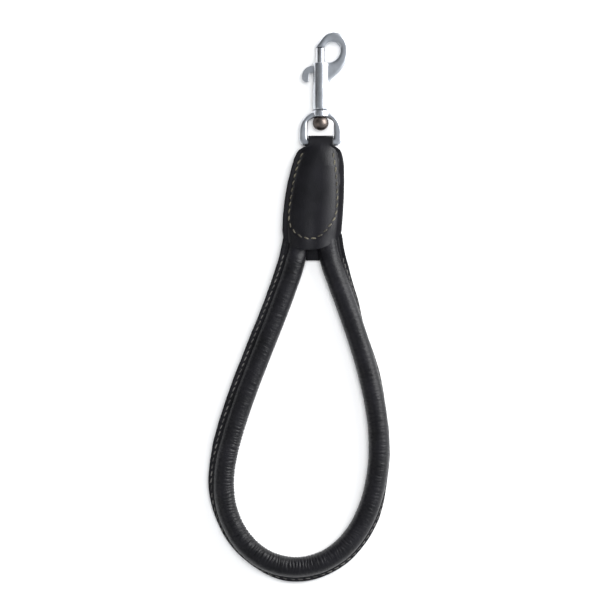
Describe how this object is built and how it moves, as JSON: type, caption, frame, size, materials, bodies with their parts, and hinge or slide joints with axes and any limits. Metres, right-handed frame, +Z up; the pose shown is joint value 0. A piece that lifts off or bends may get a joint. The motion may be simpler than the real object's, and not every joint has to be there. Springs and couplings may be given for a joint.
{
  "type": "lead rope",
  "caption": "Short rolled-leather lead: a sewn rope loop held in a stitched tab, with a swivel eye and a spring-loaded bolt snap for a halter ring.",
  "frame": {"origin": "under the middle of the snap and tab together, on the surface that the lead lies on", "axes": "+X across, +Y along the lead towards the hook, +Z up from the surface"},
  "size_m": [0.1229, 0.3591, 0.0139],
  "materials": {
    "plated_steel": "satin nickel plate, slightly bluish, with soft casting marks",
    "rivet_steel": "darker, half-polished steel",
    "spring_steel": "drawn wire",
    "black_leather": "smooth black bridle leather, waxed, fine grain",
    "raw_leather": "flesh-side leather",
    "black_thread": "waxed black thread",
    "core_cord": "laid cotton cord"
  },
  "bodies": {
    "leather": {"tab_strap": "black_leather", "tab_filler": "raw_leather", "tab_front_stitches": "black_thread", "tab_back_stitches": "black_thread", "loop_sleeve": "black_leather", "loop_core": "core_cord", "seam_front_stitches": "black_thread", "seam_back_stitches": "black_thread"},
    "eye": {"swivel_eye": "plated_steel"},
    "hook": {"hook_body": "plated_steel", "swivel_pin": "rivet_steel", "bolt_spring": "spring_steel"},
    "bolt": {"latch_bolt": "plated_steel", "thumb_lever": "plated_steel"}
  },
  "joints": [
    {"name": "eye_tilt", "type": "hinge", "parent": "leather", "child": "eye", "pos_m": [0.0037, 0.0024, 0.0052], "axis": [1, 0, 0], "range_deg": [-60, 60]},
    {"name": "hook_swivel", "type": "hinge", "parent": "eye", "child": "hook", "pos_m": [0.0037, 0.021, 0.0052], "axis": [0, 1, 0], "continuous": true},
    {"name": "bolt_slide", "type": "slide", "parent": "hook", "child": "bolt", "axis": [0, -1, 0], "range_m": [0, 0.009], "stiffness_N_per_m": 300, "springref_m": -0.006, "deforming": ["bolt_spring"]}
  ]
}
